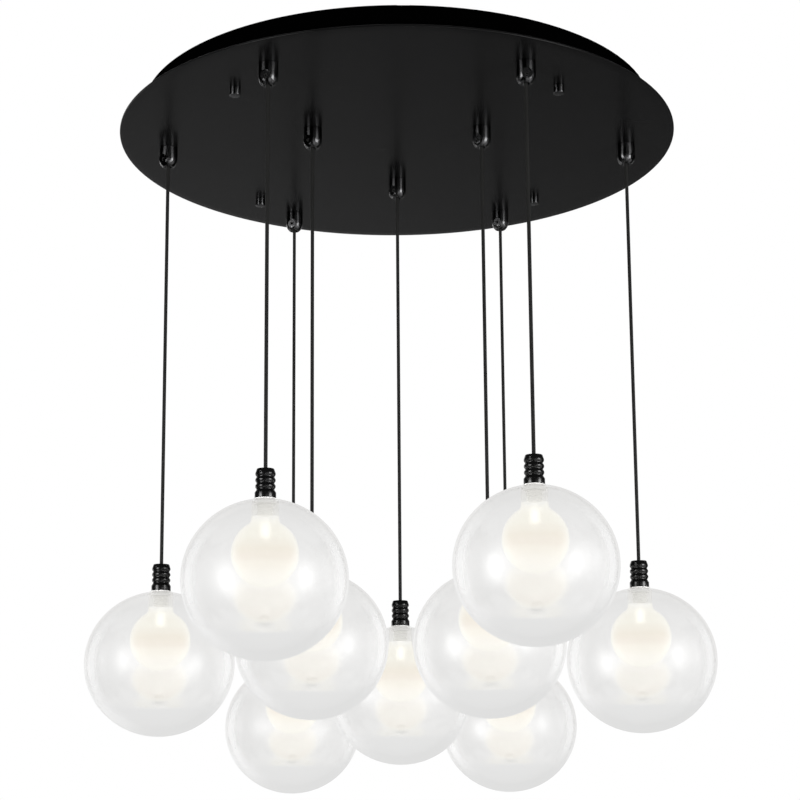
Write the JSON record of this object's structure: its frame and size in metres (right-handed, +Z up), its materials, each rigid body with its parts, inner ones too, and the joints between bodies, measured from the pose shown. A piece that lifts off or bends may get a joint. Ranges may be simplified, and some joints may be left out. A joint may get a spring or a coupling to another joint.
{
  "type": "cluster pendant light",
  "caption": "Round flat black ceiling canopy with globe lamps hanging at staggered heights on straight black cords, each globe clear glass round a lit opal ball.",
  "frame": {"origin": "centre of the canopy's top face, in the plane of the ceiling", "axes": "+Z up, out of the canopy into the ceiling; the lamps hang along -Z; -Y is the side facing the viewer"},
  "size_m": [0.6341, 0.58, 0.7057],
  "materials": {
    "satin_black": "satin black powder coat",
    "pan_black": "matt black paint",
    "gloss_black": "black chrome",
    "shell_black": "gloss black enamel",
    "black_steel": "blackened steel",
    "zinc_steel": "zinc plated",
    "cord_black": "matt black flex",
    "white_plastic": "moulded white",
    "white_ceramic": "glazed ceramic",
    "rubber_black": "moulded",
    "opal_glass": "acid-etched opal, lit from inside",
    "clear_glass": "clear blown glass"
  },
  "bodies": {
    "canopy": {"canopy_plate": "satin_black", "ceiling_pan": "pan_black", "pan_studs": "zinc_steel", "stud_spacers": "zinc_steel", "canopy_nuts": "gloss_black", "cord_grips": "gloss_black", "grip_screws": "black_steel", "grip_washers": "zinc_steel", "grip_lock_nuts": "zinc_steel", "cord_tails": "cord_black", "junction_box": "white_plastic", "junction_lid": "white_plastic", "terminal_block": "white_ceramic", "supply_grommet": "rubber_black", "earth_stud": "zinc_steel"},
    "pendant_1": {"cord_1": "cord_black", "socket_shell_1": "shell_black", "socket_core_1": "white_ceramic", "inner_glass_1": "opal_glass", "globe_1": "clear_glass"},
    "pendant_2": {"cord_2": "cord_black", "socket_shell_2": "shell_black", "socket_core_2": "white_ceramic", "inner_glass_2": "opal_glass", "globe_2": "clear_glass"},
    "pendant_3": {"cord_3": "cord_black", "socket_shell_3": "shell_black", "socket_core_3": "white_ceramic", "inner_glass_3": "opal_glass", "globe_3": "clear_glass"},
    "pendant_4": {"cord_4": "cord_black", "socket_shell_4": "shell_black", "socket_core_4": "white_ceramic", "inner_glass_4": "opal_glass", "globe_4": "clear_glass"},
    "pendant_5": {"cord_5": "cord_black", "socket_shell_5": "shell_black", "socket_core_5": "white_ceramic", "inner_glass_5": "opal_glass", "globe_5": "clear_glass"},
    "pendant_6": {"cord_6": "cord_black", "socket_shell_6": "shell_black", "socket_core_6": "white_ceramic", "inner_glass_6": "opal_glass", "globe_6": "clear_glass"},
    "pendant_7": {"cord_7": "cord_black", "socket_shell_7": "shell_black", "socket_core_7": "white_ceramic", "inner_glass_7": "opal_glass", "globe_7": "clear_glass"},
    "pendant_8": {"cord_8": "cord_black", "socket_shell_8": "shell_black", "socket_core_8": "white_ceramic", "inner_glass_8": "opal_glass", "globe_8": "clear_glass"},
    "pendant_9": {"cord_9": "cord_black", "socket_shell_9": "shell_black", "socket_core_9": "white_ceramic", "inner_glass_9": "opal_glass", "globe_9": "clear_glass"}
  },
  "joints": [
    {"name": "swing_1", "type": "hinge", "parent": "canopy", "child": "pendant_1", "pos_m": [-0.24207, 0, -0.051], "axis": [-1, 0, 0], "range_deg": [-10, 10]},
    {"name": "swing_2", "type": "hinge", "parent": "canopy", "child": "pendant_2", "pos_m": [-0.12103, -0.20964, -0.051], "axis": [-0.5, -0.866, 0], "range_deg": [-10, 10]},
    {"name": "swing_3", "type": "hinge", "parent": "canopy", "child": "pendant_3", "pos_m": [-0.087, -0.05023, -0.051], "axis": [-0.866, -0.5, 0], "range_deg": [-1.5, 1.5]},
    {"name": "swing_4", "type": "hinge", "parent": "canopy", "child": "pendant_4", "pos_m": [-0.12103, 0.20964, -0.051], "axis": [-0.5, 0.866, 0], "range_deg": [-10, 10]},
    {"name": "swing_5", "type": "hinge", "parent": "canopy", "child": "pendant_5", "pos_m": [0, 0.10046, -0.051], "axis": [0, 1, 0], "range_deg": [-1.5, 1.5]},
    {"name": "swing_6", "type": "hinge", "parent": "canopy", "child": "pendant_6", "pos_m": [0.087, -0.05023, -0.051], "axis": [0.866, -0.5, 0], "range_deg": [-1.5, 1.5]},
    {"name": "swing_7", "type": "hinge", "parent": "canopy", "child": "pendant_7", "pos_m": [0.12103, 0.20964, -0.051], "axis": [0.5, 0.866, 0], "range_deg": [-10, 10]},
    {"name": "swing_8", "type": "hinge", "parent": "canopy", "child": "pendant_8", "pos_m": [0.12103, -0.20964, -0.051], "axis": [0.5, -0.866, 0], "range_deg": [-10, 10]},
    {"name": "swing_9", "type": "hinge", "parent": "canopy", "child": "pendant_9", "pos_m": [0.24207, 0, -0.051], "axis": [1, 0, 0], "range_deg": [-10, 10]}
  ]
}
